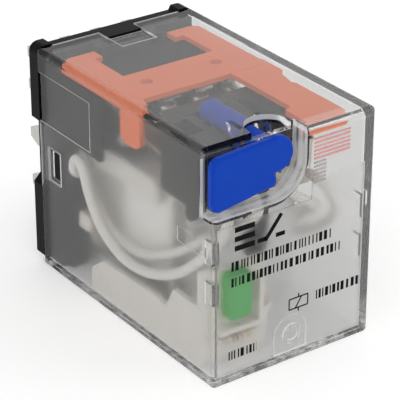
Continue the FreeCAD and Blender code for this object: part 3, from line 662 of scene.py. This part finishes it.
def bobbin_rails():
    """Two moulded rails that join the bobbin's flanges, one along each side of the winding."""
    outline = [(-21.3, 1.6), (-20.8, 1.2), (-9.2, 1.2), (-8.7, 1.6), (-8.7, 3.8), (-9.1, 4.1),
               (-20.2, 4.1), (-21.3, 3.3)]
    work = bmesh.new()
    for start, end in ((-7.1, -6.62), (6.62, 7.1)):
        add_prism(work, outline, start, end, "X")
    bmesh.ops.bevel(work, geom=work.edges[:], offset=0.08 * MM, segments=2,
                    affect="EDGES", profile=0.5)
    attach(new_piece("bobbin_rails", work, "white_moulding", smooth=False), "case")


# ---- marks printed on the front ----------------------------------------------------------
def front_marks():
    """Black print on the front face: plain bars, a switch sign and the coil symbol."""
    random.seed(7)
    face_y = -36.0
    ink_front, ink_rear = face_y - 0.02, face_y + 0.005
    pen, thick_pen = 0.16, 0.5
    work = bmesh.new()

    def bar(x0, x1, z0, z1):
        """A filled rectangle."""
        add_block(work, (x0, ink_front, z0), (x1, ink_rear, z1))

    def stroke(start, end, width):
        """A straight line between two points."""
        run = Vector((end[0] - start[0], end[1] - start[1]))
        side = Vector((-run.y, run.x)).normalized() * width / 2
        corners = [(start[0] + side.x, start[1] + side.y), (end[0] + side.x, end[1] + side.y),
                   (end[0] - side.x, end[1] - side.y), (start[0] - side.x, start[1] - side.y)]
        add_prism(work, corners, ink_front, ink_rear, "Y")

    def bar_row(x, end, z0, z1):
        """A row of upright bars that stands for a printed line."""
        while x < end:
            width = random.choice((0.16, 0.16, 0.3, 0.42))
            bar(x, min(x + width, end), z0, z1)
            x += width + random.choice((0.2, 0.24, 0.36))

    for z in (2.2, 3.3, 4.4):
        bar(-8.0, -5.4, z, z + 0.62)
    for start, end in (((-5.0, 2.5), (-3.9, 2.5)), ((-4.0, 2.3), (-1.9, 4.9)),
                       ((-2.6, 2.5), (-1.4, 2.5))):
        stroke(start, end, thick_pen)
    for row in ((-8.4, 4.9, -0.1, 1.0), (-8.4, 6.2, -2.0, -0.95), (3.1, 9.0, -7.2, -6.1),
                (-8.7, -5.0, -10.9, -9.85)):
        bar_row(*row)
    left, right, low, high = -0.6, 1.95, -7.4, -6.1
    for start, end in (((left, low), (right, low)), ((left, high), (right, high)),
                       ((left, low), (left, high)), ((right, low), (right, high)),
                       ((0.25, low), (1.1, high)), ((0.68, high), (0.68, high + 0.45)),
                       ((0.68, low), (0.68, low - 0.45))):
        stroke(start, end, pen)
    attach(new_piece("front_marks", work, "black_base", smooth=False), "case")


solder_joints()
return_spring()
series_resistor()
coil_leads()
bobbin_rails()
front_marks()


# ---- stage -----------------------------------------------------------------------------------
object_middle = (0, -0.015, 0)


def floor():
    """Plain pale floor just under the object."""
    half = 3.0
    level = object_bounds()[0].z - 0.05 * MM
    mesh = bpy.data.meshes.new("floor")
    mesh.from_pydata([(x, y, level) for x, y in ((-half, -half), (half, -half), (half, half),
                                                 (-half, half))], [], [(0, 1, 2, 3)])
    piece = bpy.data.objects.new("floor", mesh)
    bpy.context.scene.collection.objects.link(piece)
    g = Graph("floor")
    tone = g.blend(g.noise(0.02, 2.0), (0.88, 0.88, 0.88), (0.9, 0.9, 0.9))
    piece.data.materials.append(g.surface({"Base Color": tone, "Roughness": 0.8,
                                           "Emission Strength": 0.25,
                                           "Emission Color": (1.0, 1.0, 1.0)}))
    piece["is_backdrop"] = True


def lamp_panel(name, place, size, power):
    """Square soft light, in metres and watts, turned to the object."""
    data = bpy.data.lights.new(name, "AREA")
    data.shape = "SQUARE"
    data.size = size
    data.energy = power
    lamp = bpy.data.objects.new(name, data)
    bpy.context.scene.collection.objects.link(lamp)
    lamp.location = place
    aim = Vector(object_middle) - Vector(place)
    lamp.rotation_euler = aim.to_track_quat("-Z", "Y").to_euler()


def world_light():
    """Pale studio all round, brightest at the horizon and below."""
    world = bpy.data.worlds.new("studio")
    bpy.context.scene.world = world
    world.use_nodes = True
    tree = world.node_tree
    tree.nodes.clear()
    output = tree.nodes.new("ShaderNodeOutputWorld")
    sky = tree.nodes.new("ShaderNodeBackground")
    coords = tree.nodes.new("ShaderNodeTexCoord")
    split = tree.nodes.new("ShaderNodeSeparateXYZ")
    ramp = tree.nodes.new("ShaderNodeValToRGB")
    tree.links.new(coords.outputs["Generated"], split.inputs[0])
    tree.links.new(split.outputs["Z"], ramp.inputs[0])
    tree.links.new(ramp.outputs[0], sky.inputs["Color"])
    tree.links.new(sky.outputs[0], output.inputs["Surface"])
    first, last = ramp.color_ramp.elements
    middle = ramp.color_ramp.elements.new(0.55)
    for element, height, tone in ((first, 0.0, 0.95), (middle, 0.55, 0.75), (last, 1.0, 0.4)):
        element.position = height
        element.color = (tone, tone, tone, 1)
    sky.inputs["Strength"].default_value = 1.05


def camera():
    """Long-lens camera that looks down on the object's front left corner."""
    azimuth = math.radians(-35.47)
    elevation = math.radians(27.31)
    distance = 229.2 * MM
    target = Vector((-2.592, -22.158, 0.855)) * MM
    back = Vector((math.sin(azimuth) * math.cos(elevation),
                   -math.cos(azimuth) * math.cos(elevation), math.sin(elevation)))
    data = bpy.data.cameras.new("camera")
    data.lens = 185.8
    data.sensor_width = 36.0
    data.clip_start = 0.01
    piece = bpy.data.objects.new("camera", data)
    bpy.context.scene.collection.objects.link(piece)
    piece.location = target + back * distance
    piece.rotation_euler = back.to_track_quat("Z", "Y").to_euler()
    bpy.context.scene.camera = piece


floor()
world_light()
lamp_panel("key", (-0.25, -0.2, 0.4), 0.55, 0.95)
lamp_panel("fill", (0.35, -0.25, 0.25), 0.35, 0.4)
lamp_panel("back", (0.31, 0.43, 0.28), 0.55, 0.3)
camera()
bpy.context.scene.view_settings.view_transform = "Standard"
